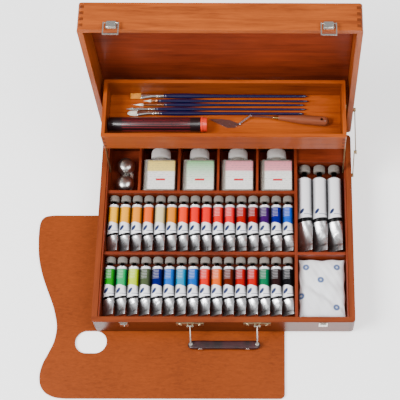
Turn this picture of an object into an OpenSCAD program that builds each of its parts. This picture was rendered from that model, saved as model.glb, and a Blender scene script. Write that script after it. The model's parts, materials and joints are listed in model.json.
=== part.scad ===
// Wooden paint box standing open on its palette, with a raised brush tray.
// Millimetres, +Z up, +X to the right, the front is -Y, the floor is z = 0.

/* [Case] */
// Outside width of the case and the lid
case_w = 420; // [380:1:480]
// Outside depth of the case and the lid
case_d = 330; // [300:1:380]
// Outside height of the case
case_h = 51; // [48:1:70]
// Thickness of the case boards
board = 9; // [7:0.5:12]
// Radius of the upright corners
corner_r = 6; // [2:0.5:8]
// Thickness of the bottom panel
bottom_t = 3.5; // [2.5:0.5:6]
// Thickness of the side liners
liner_t = 3; // [2:0.5:4]
// Fingers in each corner joint of the case
case_fingers = 9; // [5:2:11]

/* [Lid] */
// Outside height of the lid
lid_h = 47; // [46:1:60]
// Thickness of the lid panel
lid_panel_t = 3.2; // [2.5:0.1:3.4]
// How far the lid stands open
lid_open = 91.2; // [90:0.1:93]

/* [Compartments] */
// Thickness of the cross dividers
divider_t = 5; // [3:0.5:6]
// Thickness of the bottle partitions
partition_t = 4; // [2.5:0.5:5]
// Depth of the divider tops under the rim
divider_drop = 6.5; // [5.5:0.5:8]
// Height of the raised floor under the small tubes
tube_floor_h = 18; // [12:1:20]
// Height of the raised floor under the large tubes
column_floor_h = 10; // [6:1:12]
// Thickness of the raised floors
raised_t = 4; // [3:0.5:5]

/* [Tray] */
// Outside height of the tray
tray_h = 44; // [38:1:45]
// Outside depth of the tray
tray_d = 102; // [90:1:106]
// Thickness of the tray boards
tray_board = 6; // [4:0.5:7]
// Thickness of the tray floor
tray_floor_t = 3; // [2:0.5:4]
// Length of the tray arms between pivots
arm_l = 110; // [106:1:112]
// How far the arms lean back when the tray is up
arm_lean = 10; // [8:1:12]
// Width of the tray arms
arm_w = 7; // [6:0.1:7]
// Thickness of the tray arms
arm_t = 2; // [1.5:0.1:2.4]

/* [Contents] */
// Room between two small tubes
tube_gap = 0.75; // [0.4:0.05:3]
// Share of the case's inside depth that a small tube's body takes
tube_share = 0.2692; // [0.24:0.0001:0.275]
// Diameter of a large tube
big_d = 24.6; // [22:0.1:25]
// Room beside a bottle in its compartment
bottle_room = 6.4; // [5.8:0.1:12]
// Height of a bottle as it lies
bottle_h = 34; // [31:1:36]
// Wall of a bottle
bottle_wall = 1.6; // [1.2:0.1:2.5]

/* [Palette] */
// Thickness of the palette
palette_t = 4; // [3:0.5:6]

/* [Hidden] */
$fn = 48;
// Gap kept between pieces that move apart
gap = 0.3;
// Radial room of a pin in its hole
fit = 0.05;
e = 0.01;

floor_z = palette_t + gap;
rim = floor_z + case_h;
panel_z = floor_z + bottom_t;
divider_top = rim - divider_drop;
in_x = case_w / 2 - board;
in_y = case_d / 2 - board;
side_x = in_x - liner_t;

// The lid axis runs along X behind the back boards.
hinge_out = 3;
hinge_y = case_d / 2 + hinge_out;
hinge_z = rim + gap / 2;
lid_z = rim + gap;

// Compartment lines across and along the case.
small_l = 2 * in_y * tube_share;
front_cross_y = -in_y + small_l + 23;
back_cross_y = front_cross_y + divider_t + small_l + 19.5;
ledge_y = in_y - 37.5;
big_pitch = big_d + 1.5;
column_w = 3 * big_pitch + 0.7;
column_x = side_x - column_w;
long_x = column_x - divider_t;
part_pitch = (long_x + side_x) * 0.2112;
bottle_w = part_pitch - partition_t - bottle_room;
partition_shift = 1.6;
tube_pitch = (long_x + side_x - 2.4) / 16;
tube_d = tube_pitch - tube_gap;

// Arms and tray with the tray raised.
front_pivot_y = in_y - 55;
rear_pivot_y = in_y - 6.5;
pivot_z = rim - 5.8;
front_pivot_z = pivot_z - 1.6;
case_pivots = [[front_pivot_y, front_pivot_z], [rear_pivot_y, pivot_z]];
arm_gap = 0.5;
tray_half = side_x - 2 * arm_gap - arm_t - 0.5;
arm_x = tray_half + arm_gap;
arm_dy = arm_l * sin(arm_lean);
arm_dz = arm_l * cos(arm_lean);
tray_y = front_pivot_y - 4;
tray_z = pivot_z + arm_dz - 12.5;
tray_in = tray_z + tray_floor_t;
tray_in_x = tray_half - tray_board;

// Outside stay on the right.
stay_c = [case_d / 2 - 67.8, rim - 15.7];
stay_e = [case_d / 2 - 48.2, rim + 34.8];
stay_u = [case_d / 2 + 27.5, rim + 40.6];
stay_x = case_w / 2 + 2.4;
stay_w = 7;

tube_z = panel_z + tube_floor_h + tube_d / 2 + gap;
tube_x0 = -side_x + 1.2 + tube_pitch / 2;
big_z = panel_z + column_floor_h + big_d / 2 + gap;

latch_x = 159;
eye_x = 53.5;
eye_z = rim - 8;
eye_y = -case_d / 2 - 4;
grip_dy = -20;
grip_r = 6.5;
grip_t = 9;
grip_z = palette_t + grip_t / 2 + 0.4;

// General shapes

// Upright block with rounded corners standing on z = 0.
module rounded_block(w, d, h, r) {
    translate([-w / 2, -d / 2 + r, 0]) cube([w, d - 2 * r, h]);
    translate([-w / 2 + r, -d / 2, 0]) cube([w - 2 * r, d, h]);
    for (sx = [-1, 1]) for (sy = [-1, 1])
        translate([sx * (w / 2 - r), sy * (d / 2 - r), 0]) cylinder(r = r, h = h);
}

// Four walls of a box, open at top and bottom.
module wall_ring(w, d, h, t, r) {
    difference() {
        rounded_block(w, d, h, r);
        translate([-w / 2 + t, -d / 2 + t, -1]) cube([w - 2 * t, d - 2 * t, h + 2]);
    }
}

// Corner fingers of one board: side -1 or 1, and the fingers of one parity.
module corner_fingers(w, d, h, t, n, sx, sy, parity) {
    f = h / n;
    for (i = [parity : 2 : n - 1])
        translate([sx > 0 ? w / 2 - t : -w / 2, sy > 0 ? d / 2 - t : -d / 2, i * f]) cube([t, t, f]);
}

// Front or back board of a box with its fingers.
module cross_board(w, d, h, t, r, n, sy) {
    intersection() {
        wall_ring(w, d, h, t, r);
        union() {
            translate([-w / 2 + t, sy > 0 ? d / 2 - t : -d / 2, 0]) cube([w - 2 * t, t, h]);
            for (sx = [-1, 1]) corner_fingers(w, d, h, t, n, sx, sy, 0);
        }
    }
}

// Left or right board of a box with its fingers.
module side_board(w, d, h, t, r, n, sx) {
    intersection() {
        wall_ring(w, d, h, t, r);
        union() {
            translate([sx > 0 ? w / 2 - t : -w / 2, -d / 2 + t, 0]) cube([t, d - 2 * t, h]);
            for (sy = [-1, 1]) corner_fingers(w, d, h, t, n, sx, sy, 1);
        }
    }
}

// Flat bar between two points of a YZ plane, with slightly wider round ends, thickness along X from x.
module bar_yz(x, t, a, b, w) {
    dy = b[0] - a[0];
    dz = b[1] - a[1];
    l = sqrt(dy * dy + dz * dz);
    for (p = [a, b]) translate([x, p[0], p[1]]) rotate([0, 90, 0]) cylinder(d = w, h = t);
    translate([x, a[0], a[1]]) rotate([atan2(dz, dy), 0, 0]) translate([0, 0, -w / 2 + 0.5]) cube([t, l, w - 1]);
}

module pin_x(x, y, z, r, l) {
    translate([x, y, z]) rotate([0, 90, 0]) cylinder(r = r, h = l);
}

// Turns a piece drawn for the closed lid to the open place.
module opened() {
    translate([0, hinge_y, hinge_z]) rotate([-lid_open, 0, 0]) translate([0, -hinge_y, -hinge_z]) children();
}

// Closed place of a YZ point that is given with the lid open.
function closed_yz(p) =
    let (dy = p[0] - hinge_y, dz = p[1] - hinge_z)
    [hinge_y + dy * cos(lid_open) - dz * sin(lid_open), hinge_z + dy * sin(lid_open) + dz * cos(lid_open)];

// Case

module case_place() { translate([0, 0, floor_z]) children(); }

module case_front_board() {
    color("sienna") case_place() cross_board(case_w, case_d, case_h, board, corner_r, case_fingers, -1);
}

module case_back_board() {
    color("sienna") case_place() cross_board(case_w, case_d, case_h, board, corner_r, case_fingers, 1);
}

module case_left_board() {
    color("sienna") difference() {
        case_place() side_board(case_w, case_d, case_h, board, corner_r, case_fingers, -1);
        for (p = case_pivots) pin_x(-in_x - 3, p[0], p[1], 2 + fit, 4);
    }
}

module case_right_board() {
    color("sienna") difference() {
        case_place() side_board(case_w, case_d, case_h, board, corner_r, case_fingers, 1);
        for (p = case_pivots) pin_x(in_x - 1, p[0], p[1], 2 + fit, 4);
        pin_x(case_w / 2 - 5, stay_c[0], stay_c[1], 2 + fit, 6);
    }
}

module case_bottom_panel() {
    color("peru") translate([-in_x, -in_y, floor_z]) cube([2 * in_x, 2 * in_y, bottom_t]);
}

module side_liners() {
    color("sienna") for (s = [-1, 1]) difference() {
        translate([s > 0 ? side_x : -in_x, -in_y, panel_z]) cube([liner_t, 2 * in_y, rim - 1.5 - panel_z]);
        for (p = case_pivots) pin_x(s > 0 ? side_x - 1 : -in_x - 1, p[0], p[1], 2 + fit, liner_t + 2);
    }
}

// Two raised boards under the small tubes, each with a lifting hole at both ends.
module raised_tube_floor() {
    z = panel_z + tube_floor_h - raised_t;
    color("peru") for (r = [[-in_y, front_cross_y], [front_cross_y + divider_t, back_cross_y]]) difference() {
        translate([-side_x, r[0], z]) cube([long_x + side_x, r[1] - r[0], raised_t]);
        for (x = [-side_x + 12, long_x - 12]) translate([x, r[1] - 6, z - 1]) cylinder(d = 8, h = raised_t + 2);
    }
}

module column_floor() {
    z = panel_z + column_floor_h - raised_t;
    color("peru") for (r = [[-in_y, front_cross_y], [front_cross_y + divider_t, ledge_y]]) difference() {
        translate([column_x, r[0], z]) cube([column_w, r[1] - r[0], raised_t]);
        translate([column_x + column_w / 2, r[1] - 6, z - 1]) cylinder(d = 8, h = raised_t + 2);
    }
}

module back_cross_divider() {
    color("sienna") translate([-side_x, back_cross_y, panel_z]) cube([long_x + side_x, divider_t, divider_top - panel_z]);
}

module front_cross_divider() {
    color("sienna") translate([-side_x, front_cross_y, panel_z]) cube([long_x + side_x, divider_t, divider_top - panel_z]);
}

module long_divider() {
    color("sienna") translate([long_x, -in_y, panel_z]) cube([divider_t, 2 * in_y, divider_top - panel_z]);
}

module bottle_partitions() {
    y = back_cross_y + divider_t;
    color("sienna") for (i = [1 : 4])
        translate([long_x - i * part_pitch + partition_shift, y, panel_z]) cube([partition_t, in_y - y, divider_top - panel_z]);
}

// Rail between the large tubes and the bag, and the ledge at the back of the column.
module column_rails() {
    color("sienna") {
        translate([column_x, front_cross_y, panel_z]) cube([column_w, divider_t, divider_top - panel_z]);
        translate([column_x, ledge_y, panel_z]) cube([column_w, divider_t, pivot_z - arm_w / 2 - 1 - panel_z]);
        translate([column_x, ledge_y, pivot_z - arm_w / 2 - 5]) cube([column_w, in_y - ledge_y, 4]);
    }
}

// Hardware on the case

// Butt hinges: leaves, outer knuckles and the pin, on the case side.
module case_hinge_leaves() {
    color("silver") for (x = [-120, 120]) {
        translate([x - 20, case_d / 2, rim - 17]) cube([40, 1.5, 13.6]);
        for (s = [-1, 1]) {
            translate([x + (s > 0 ? 7 : -20), case_d / 2, rim - 4]) cube([13, 1.5, 4.15]);
            translate([x + (s > 0 ? 7 : -20), hinge_y, hinge_z]) rotate([0, 90, 0]) cylinder(r = 2.6, h = 13);
            translate([x + (s > 0 ? 7 : -20), case_d / 2, hinge_z - 2.6]) cube([13, hinge_out, 2.4]);
        }
        translate([x - 20, hinge_y, hinge_z]) rotate([0, 90, 0]) cylinder(r = 1.2, h = 40);
    }
}

module lid_hinge_leaves() {
    color("silver") opened() for (x = [-120, 120]) difference() {
        union() {
            translate([x - 20, case_d / 2, lid_z + 3]) cube([40, 1.5, 13.6]);
            translate([x - 6.6, case_d / 2, lid_z]) cube([13.2, 1.5, 4]);
            translate([x - 6.6, case_d / 2, lid_z]) cube([13.2, hinge_out, 2.4]);
            translate([x - 6.6, hinge_y, hinge_z]) rotate([0, 90, 0]) cylinder(r = 2.6, h = 13.2);
        }
        translate([x - 21, hinge_y, hinge_z]) rotate([0, 90, 0]) cylinder(r = 1.2 + fit, h = 42);
    }
}

// Catch plates with a lip that the bail passes in front of.
module latch_catches() {
    color("silver") for (s = [-1, 1]) translate([s * latch_x, -case_d / 2, rim]) {
        translate([-7, -1, -21]) cube([14, 1, 19]);
        translate([-5, -3.2, -8.5]) cube([10, 2.3, 1.2]);
        translate([-5, -3.2, -8.5]) cube([10, 1, 4]);
        for (z = [-18, -13]) translate([0, -1, z]) rotate([90, 0, 0]) cylinder(d = 3.4, h = 0.7);
    }
}

// Plates with a standing eye for the handle links and four screw heads each.
module handle_brackets() {
    color("silver") for (s = [-1, 1]) translate([s * eye_x, -case_d / 2, eye_z]) {
        translate([-7, -1.4, -6]) cube([14, 1.4, 12]);
        for (t = [-1, 1]) {
            translate([t > 0 ? 6 : -22, -1.4, t > 0 ? -6 : -5]) cube([16, 1.4, 10]);
            for (q = [[16, 2.4], [15, -3]]) translate([t * q[0], -1.4, q[1]])
                rotate([90, 0, 0]) cylinder(d = 4.4, h = 0.9);
            difference() {
                translate([t > 0 ? 2.6 : -4.6, -6.6, -2.6]) cube([2, 6.6, 5.2]);
                translate([-6, -4, 0]) rotate([0, 90, 0]) cylinder(r = 1.2 + fit, h = 12);
            }
        }
    }
}

// Handle: a wire link in each bracket, and a leather grip with an eyelet at both ends.
module handle_links() {
    top = grip_t / 2 + 2;
    dz = grip_z + top - eye_z;
    l = sqrt(grip_dy * grip_dy + dz * dz);
    color("silver") for (s = [-1, 1]) translate([s * eye_x, eye_y, eye_z]) {
        translate([-5.2, 0, 0]) rotate([0, 90, 0]) cylinder(r = 1.2, h = 10.4);
        rotate([atan2(dz, grip_dy) - 90, 0, 0]) cylinder(r = 1.2, h = l);
        translate([0, grip_dy, dz]) sphere(r = 1.5);
        translate([0, grip_dy, dz - top - grip_t / 2]) cylinder(r = 1.5, h = grip_t + 2);
        translate([0, grip_dy, dz - top + grip_t / 2]) cylinder(r = 3.2, h = 0.9);
    }
}

// Leather grip: a flat bar with round ends and two rivets on its front edge.
module handle_grip() {
    end = eye_x - 1.5;
    color("saddlebrown") translate([0, eye_y + grip_dy, grip_z]) difference() {
        union() {
            translate([-end, -grip_r, -grip_t / 2]) cube([2 * end, 2 * grip_r, grip_t]);
            for (s = [-1, 1]) {
                translate([s * end, 0, -grip_t / 2]) cylinder(r = grip_r, h = grip_t);
                translate([s * 38, -grip_r, 0]) rotate([90, 0, 0]) cylinder(d = 4, h = 0.8);
            }
        }
        for (s = [-1, 1]) translate([s * eye_x, 0, -grip_t]) cylinder(r = 1.5, h = 2 * grip_t);
    }
}

// Lid

module lid_place() { opened() translate([0, 0, lid_z]) children(); }

module lid_front_board() {
    color("sienna") lid_place() cross_board(case_w, case_d, lid_h, board, corner_r, 9, -1);
}

module lid_back_board() {
    color("sienna") lid_place() cross_board(case_w, case_d, lid_h, board, corner_r, 9, 1);
}

module lid_left_board() {
    color("sienna") lid_place() side_board(case_w, case_d, lid_h, board, corner_r, 9, -1);
}

module lid_right_board() {
    p = closed_yz(stay_u);
    color("sienna") opened() difference() {
        translate([0, 0, lid_z]) side_board(case_w, case_d, lid_h, board, corner_r, 9, 1);
        pin_x(case_w / 2 - 5, p[0], p[1], 2 + fit, 6);
    }
}

// Panel let in flush with the top edges.
module lid_panel() {
    color("saddlebrown") lid_place() translate([-in_x, -in_y, lid_h - lid_panel_t])
        cube([2 * in_x, 2 * in_y, lid_panel_t]);
}

// Draw latches

// Base plates with two lugs that carry the lever pin.
module latch_bases() {
    color("silver") opened() for (s = [-1, 1]) translate([s * latch_x, -case_d / 2, lid_z]) {
        translate([-8, -1, 1.2]) cube([16, 1, 12]);
        for (t = [-1, 1]) difference() {
            translate([t > 0 ? 7 : -8, -4.2, 1.2]) cube([1, 4.2, 4]);
            translate([-9, -3, 3.2]) rotate([0, 90, 0]) cylinder(r = 0.7 + fit, h = 18);
        }
    }
}

// Lever plate with its pin, a curled thumb edge and bail holes.
module latch_lever(s) {
    color("silver") opened() translate([s * latch_x, -case_d / 2, lid_z]) difference() {
        union() {
            translate([-6.6, -3.6, 2.4]) cube([13.2, 1.2, 10]);
            translate([-6.6, -3.6, 11.6]) cube([13.2, 2.2, 1.2]);
            translate([-6.6, -3, 3.2]) rotate([0, 90, 0]) cylinder(r = 1.4, h = 13.2);
            translate([-8, -3, 3.2]) rotate([0, 90, 0]) cylinder(r = 0.7, h = 16);
            for (t = [-1, 1]) translate([t > 0 ? 5.2 : -6.6, -5.4, 7.4]) cube([1.4, 2.4, 3.2]);
        }
        translate([-9, -4.4, 9]) rotate([0, 90, 0]) cylinder(r = 0.7 + fit, h = 18);
    }
}

module left_latch_lever() { latch_lever(-1); }

module right_latch_lever() { latch_lever(1); }

// Square wire loop hung on the lever.
module latch_bail(s) {
    color("silver") opened() translate([s * latch_x, -case_d / 2, lid_z]) {
        for (t = [-1, 1]) {
            translate([t > 0 ? 10.2 : -12, -5.2, -9.6]) cube([1.8, 1.6, 19.6]);
            translate([t > 0 ? 5.4 : -12, -4.4, 9]) rotate([0, 90, 0]) cylinder(r = 0.7, h = 6.6);
        }
        translate([-12, -5.2, -11.2]) cube([24, 1.6, 2]);
    }
}

module left_latch_bail() { latch_bail(-1); }

module right_latch_bail() { latch_bail(1); }

// Folding stay

module stay_lower_link() {
    color("goldenrod") {
        bar_yz(stay_x, 1.2, stay_c, stay_e, stay_w);
        pin_x(case_w / 2 - 4.6, stay_c[0], stay_c[1], 2, 7.2);
        pin_x(case_w / 2 + gap, stay_c[0], stay_c[1], 3.1, 2.4);
        pin_x(stay_x + 1, stay_c[0], stay_c[1], 3, 1);
        pin_x(stay_x + 1, stay_e[0], stay_e[1], 2.6, 1);
    }
}

module stay_upper_link() {
    x = stay_x + 2.4;
    color("goldenrod") {
        bar_yz(x, 1.2, stay_e, stay_u, stay_w);
        pin_x(case_w / 2 + gap, stay_u[0], stay_u[1], 3.4, 4.7);
        pin_x(case_w / 2 - 4.6, stay_u[0], stay_u[1], 2, 5.2);
        for (p = [stay_e, stay_u]) pin_x(x + 1, p[0], p[1], 3.4, 1.4);
    }
}

// Tray and its arms

module arm_pair(y, z) {
    color("goldenrod") for (s = [-1, 1]) {
        a = [y, z];
        b = [y + arm_dy, z + arm_dz];
        x = s > 0 ? arm_x : -arm_x - arm_t;
        bar_yz(x, arm_t, a, b, arm_w);
        pin_x(s > 0 ? arm_x + arm_t / 2 : -arm_x - arm_t / 2 - 5.8, a[0], a[1], 2, 5.8);
        pin_x(s > 0 ? arm_x - 4 : -arm_x - arm_t / 2, b[0], b[1], 2, 4 + arm_t / 2);
    }
}

module front_arms() { arm_pair(front_pivot_y, front_pivot_z); }

module rear_arms() { arm_pair(rear_pivot_y, pivot_z); }

module tray_place() { translate([0, tray_y + tray_d / 2, tray_z]) children(); }

module tray_front_board() {
    color("chocolate") tray_place() cross_board(2 * tray_half, tray_d, tray_h, tray_board, 2, 7, -1);
}

module tray_back_board() {
    color("chocolate") tray_place() cross_board(2 * tray_half, tray_d, tray_h, tray_board, 2, 7, 1);
}

module tray_side(sx) {
    color("chocolate") difference() {
        tray_place() side_board(2 * tray_half, tray_d, tray_h, tray_board, 2, 7, sx);
        for (p = case_pivots)
            pin_x(sx > 0 ? tray_half - 4.5 : -tray_half - 1, p[0] + arm_dy, p[1] + arm_dz, 2 + fit, 5.5);
    }
}

module tray_left_board() { tray_side(-1); }

module tray_right_board() { tray_side(1); }

module tray_floor() {
    color("peru") translate([-tray_in_x, tray_y + tray_board, tray_z])
        cube([2 * tray_in_x, tray_d - 2 * tray_board, tray_floor_t]);
}

// Palette

// Smooth open curve through points.
function smooth(p, n) = [for (i = [0 : len(p) - 2]) for (k = [0 : n - 1])
    let (t = k / n, a = p[max(i - 1, 0)], b = p[i], c = p[i + 1], d = p[min(i + 2, len(p) - 1)])
    0.5 * (2 * b + (c - a) * t + (2 * a - 5 * b + 4 * c - d) * t * t + (3 * b - a - 3 * c + d) * t * t * t)];

module palette() {
    k = case_w / 420;
    edge = [[-292, 37], [-306, 34.5], [-313.5, 26], [-315.5, 10], [-314.5, -15], [-311.5, -40], [-304, -68],
        [-293, -96], [-282, -122], [-275, -146], [-273, -162], [-275.5, -182], [-283, -201], [-291, -219],
        [-294.5, -237], [-292, -254], [-283, -266], [-268, -273], [-250, -275]];
    color("tan") difference() {
        union() {
            linear_extrude(palette_t) polygon(k * concat(smooth(edge, 4), [[-250, -275], [-235, -275], [-235, 37]]));
            translate(k * [-240, -275, 0]) cube([330 * k, 312 * k, palette_t]);
            translate(k * [80, -267, 0]) cube([18 * k, 304 * k, palette_t]);
            translate(k * [90, -267, 0]) cylinder(r = 8 * k, h = palette_t);
        }
        for (x = [-223, -209]) translate([x * k, -183 * k, -1]) cylinder(r = 18.6 * k, h = palette_t + 2);
        translate([-223 * k, -201.6 * k, -1]) cube([14 * k, 37.2 * k, palette_t + 2]);
    }
}

// Tubes

// Filled tube along -Y from its shoulder: round body that flattens to a crimped end.
module tube_body(d, l, neck) {
    flat = 1.8;
    intersection() {
        rotate([90, 0, 0]) cylinder(d = d, h = l);
        translate([-d, 0, 0]) rotate([90, 0, 90]) linear_extrude(2 * d)
            polygon([[1, -d], [-l * 0.42, -d / 2], [-l + 7, -flat / 2], [-l - 1, -flat / 2],
                [-l - 1, flat / 2], [-l + 7, flat / 2], [-l * 0.42, d / 2], [1, d]]);
    }
    translate([-d / 2 + 0.4, -l, -1.4]) cube([d - 0.8, 6, 2.8]);
    rotate([-90, 0, 0]) cylinder(d1 = d, d2 = neck + 2, h = 3);
    rotate([-90, 0, 0]) cylinder(d = neck, h = 9);
}

module tube_cap(d, l, neck) {
    difference() {
        rotate([-90, 0, 0]) cylinder(d1 = d, d2 = d * 0.86, h = l);
        translate([0, -1, 0]) rotate([-90, 0, 0]) cylinder(d = neck + 0.4, h = l - 1);
    }
}

back_shoulder = back_cross_y - 14.5;
front_shoulder = front_cross_y - 14.5;

module tube_row(y) {
    for (i = [0 : 15]) translate([tube_x0 + i * tube_pitch, y, tube_z]) tube_body(tube_d, small_l, 7);
}

module cap_row(y) {
    for (i = [0 : 15]) translate([tube_x0 + i * tube_pitch, y + 3.3, tube_z]) tube_cap(15, 10, 7);
}

module back_row_tubes() { color("silver") tube_row(back_shoulder); }

module back_row_caps() { color("gray") cap_row(back_shoulder); }

module front_row_tubes() { color("silver") tube_row(front_shoulder); }

module front_row_caps() { color("gray") cap_row(front_shoulder); }

big_shoulder = ledge_y - 17;
big_l = big_shoulder - front_cross_y - divider_t - 7.5;
big_step = big_d + 0.4;

module large_tubes() {
    color("white") for (i = [0 : 2])
        translate([column_x + 0.35 + (i + 0.5) * big_step, big_shoulder, big_z]) tube_body(big_d, big_l, 10);
}

module large_tube_caps() {
    color("gray") for (i = [0 : 2])
        translate([column_x + 0.35 + (i + 0.5) * big_step, big_shoulder + 3.3, big_z]) tube_cap(18.4, 12, 10);
}

// Bottles

bottle_y = back_cross_y + divider_t + 1.5;
bottle_l = in_y - bottle_y - 32;
bottle_z = panel_z + bottle_h / 2 + gap;

function bottle_x(i) = long_x - (i + 0.5) * part_pitch + partition_t / 2 + 0.9;

// Rectangular bottle lying along +Y, with an open neck.
module bottle_shape(w, h, l, r, neck) {
    rotate([-90, 0, 0]) rounded_block(w, h, l, r);
    translate([0, l - e, 0]) rotate([-90, 0, 0]) cylinder(d1 = h - 1, d2 = neck, h = 7);
    translate([0, l, 0]) rotate([-90, 0, 0]) cylinder(d = neck, h = 20);
}

module bottles() {
    w = bottle_wall;
    color("lightblue", 0.5) for (i = [0 : 3]) translate([bottle_x(i), bottle_y, bottle_z]) difference() {
        bottle_shape(bottle_w, bottle_h, bottle_l, 7, 22);
        translate([0, w + 1, 0]) bottle_shape(bottle_w - 2 * w, bottle_h - 2 * w, bottle_l - 2 * w, 7 - w, 22 - 2 * w);
    }
}

module bottle_caps() {
    color("lightgray") for (i = [0 : 3]) translate([bottle_x(i), bottle_y + bottle_l + 8, bottle_z]) difference() {
        rotate([-90, 0, 0]) cylinder(d1 = 33.4, d2 = 32.4, h = 14.5);
        translate([0, -1, 0]) rotate([-90, 0, 0]) cylinder(d = 22.6, h = 13.6);
    }
}

// Double dipper

dipper_x = (-side_x + long_x - 4 * part_pitch + partition_shift) / 2;
dipper_y = [bottle_y + 21, bottle_y + 53];

module dipper_cups() {
    color("silver") {
        for (y = dipper_y) translate([dipper_x, y, panel_z]) difference() {
            cylinder(d1 = 25, d2 = 29.6, h = 15);
            translate([0, 0, 1]) cylinder(d1 = 23.4, d2 = 28, h = 15);
        }
        translate([dipper_x - 5, dipper_y[0] + 11.5, panel_z]) cube([10, 9, 1.2]);
        translate([dipper_x + 8, dipper_y[0] + 11, panel_z]) cube([5, 10, 13]);
    }
}

module dipper_lids() {
    color("silver") for (y = dipper_y) translate([dipper_x, y, panel_z + 15 + gap]) difference() {
        union() {
            cylinder(d = 30.6, h = 2);
            translate([0, 0, 2]) intersection() {
                translate([0, 0, -6]) sphere(r = 17, $fn = 64);
                cylinder(d = 29, h = 12);
            }
        }
        translate([0, 0, -1]) cylinder(d = 26, h = 2.4);
    }
}

// Soft bag

bag_x = column_x + column_w / 2;
bag_y = [-in_y + 4, front_cross_y - 2];
bag_h = 25;

// Boxy cushion: rings of points that shrink towards the top and the bottom.
function soft(v, p) = sign(v) * pow(abs(v), p);
function bag_ring(k, n) = let (a = -90 + 180 * k / 12)
    [for (i = [0 : n - 1]) let (b = 360 * i / n)
        [(column_w / 2 - 1.5) * soft(cos(a), 0.4) * soft(cos(b), 0.3),
            (bag_y[1] - bag_y[0]) / 2 * soft(cos(a), 0.4) * soft(sin(b), 0.3), bag_h / 2 * soft(sin(a), 0.7)]];

module cloth_bag() {
    n = 40;
    rings = [for (k = [1 : 11]) each bag_ring(k, n)];
    points = concat(rings, [[0, 0, -bag_h / 2], [0, 0, bag_h / 2]]);
    walls = [for (k = [0 : 9]) for (i = [0 : n - 1]) let (j = (i + 1) % n)
        each [[k * n + i, k * n + n + i, k * n + j], [k * n + j, k * n + n + i, k * n + n + j]]];
    ends = [for (i = [0 : n - 1]) let (j = (i + 1) % n) each [[11 * n, i, j], [11 * n + 1, 10 * n + j, 10 * n + i]]];
    color("white") translate([bag_x, (bag_y[0] + bag_y[1]) / 2, panel_z + column_floor_h + gap + bag_h / 2])
        polyhedron(points, concat(walls, ends));
}

// Brushes lie along X: hair start, hair end, ferrule end, handle end, distance from the back wall, radius.
brushes = [[-156, -138, -101, 137, 5, 4.6], [-135, -122, -110, 140, 13.4, 3.3], [-152, -135, -100, 133, 20.6, 3.4],
    [-163, -151, -114, 136, 28.4, 3.5], [-159, -143, -107, 131, 36.6, 4.3]];

module brush_place(b) {
    translate([188.5 - tray_in_x, tray_y + tray_d - tray_board - b[4], tray_in + b[5] + gap]) children();
}

module brush_handles() {
    color("midnightblue") for (b = brushes) brush_place(b) {
        l = b[3] - b[2];
        translate([b[2], 0, 0]) rotate([0, 90, 0]) cylinder(r1 = b[5] * 0.72, r2 = b[5], h = l * 0.18);
        translate([b[2] + l * 0.18, 0, 0]) rotate([0, 90, 0]) cylinder(r1 = b[5], r2 = b[5] * 0.55, h = l * 0.8);
        translate([b[2] + l * 0.98, 0, 0]) sphere(r = b[5] * 0.55);
    }
}

module brush_ferrules() {
    color("silver") for (b = brushes) brush_place(b) {
        l = b[2] - b[1];
        translate([b[1], 0, 0]) rotate([0, 90, 0]) cylinder(r1 = b[5] * 0.62, r2 = b[5] * 0.78, h = l);
        for (k = [0.66, 0.81]) translate([b[1] + l * k, 0, 0]) rotate([0, 90, 0]) cylinder(r = b[5] * 0.84, h = 2);
    }
}

module brush_bristles() {
    color("wheat") for (b = brushes) brush_place(b) {
        l = b[1] - b[0];
        translate([b[0] + l * 0.4, 0, 0]) rotate([0, 90, 0]) cylinder(r1 = b[5] * 0.8, r2 = b[5] * 0.62, h = l * 0.6);
        translate([b[0], 0, 0]) rotate([0, 90, 0]) cylinder(r1 = b[5] * 0.3, r2 = b[5] * 0.8, h = l * 0.4);
    }
}

// Palette knife, along X with a small turn.

knife_y = tray_y + tray_d - tray_board - brushes[4][4] - brushes[4][5] - 9.2;
knife_grip = 2 * tray_in_x - 303;

module knife_place() { translate([162.5 - tray_in_x, knife_y, tray_in + 6.3]) children(); }

module knife_blade() {
    color("silver") knife_place() {
        translate([0, 0, -5.4]) linear_extrude(0.8) polygon([[0, 4.5], [20, 5], [34, 3], [50, -4], [42, -10.5], [30, -11]]);
        translate([44, -8.5, -5.4]) rotate([0, 0, 18]) cube([8, 4, 2.4]);
        translate([50, -5.4, -4.6]) rotate([0, -14, 34]) cube([24, 2.4, 2.4]);
        translate([69, 6.8, -1.2]) rotate([0, 0, -4]) cube([35, 2.4, 2.4]);
    }
}

module knife_ferrule() {
    color("gold") knife_place() translate([104, 5.6, 0]) rotate([0, 90, -5]) cylinder(r1 = 3, r2 = 3.8, h = 9);
}

module knife_handle() {
    color("saddlebrown") knife_place() translate([104 + 9 * cos(5), 5.6 - 9 * sin(5), 1.5]) rotate([0, 90, -5]) difference() {
        union() {
            cylinder(r1 = 4, r2 = 7.6, h = knife_grip * 0.54);
            translate([0, 0, knife_grip * 0.54]) cylinder(r1 = 7.6, r2 = 7.8, h = knife_grip * 0.46);
            translate([0, 0, knife_grip]) intersection() {
                sphere(r = 7.8);
                translate([-9, -9, 0]) cube([18, 18, 9]);
            }
            translate([0, 0, knife_grip - 1]) cylinder(r = 7.7, h = 1.2);
        }
        translate([-10, 0, knife_grip - 4]) rotate([0, 90, 0]) cylinder(d = 4.5, h = 20);
    }
}

// Dark tube with a pull-off cap.

dark_r = 11.8;

module dark_place() { translate([-tray_in_x + 2, tray_y + tray_d * 0.345, tray_in + dark_r + 1.2]) children(); }

module dark_tube() {
    color("black") dark_place() {
        rotate([0, 90, 0]) cylinder(r = dark_r, h = 148);
        rotate([0, 90, 0]) cylinder(r = 8, h = 156);
    }
}

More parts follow.
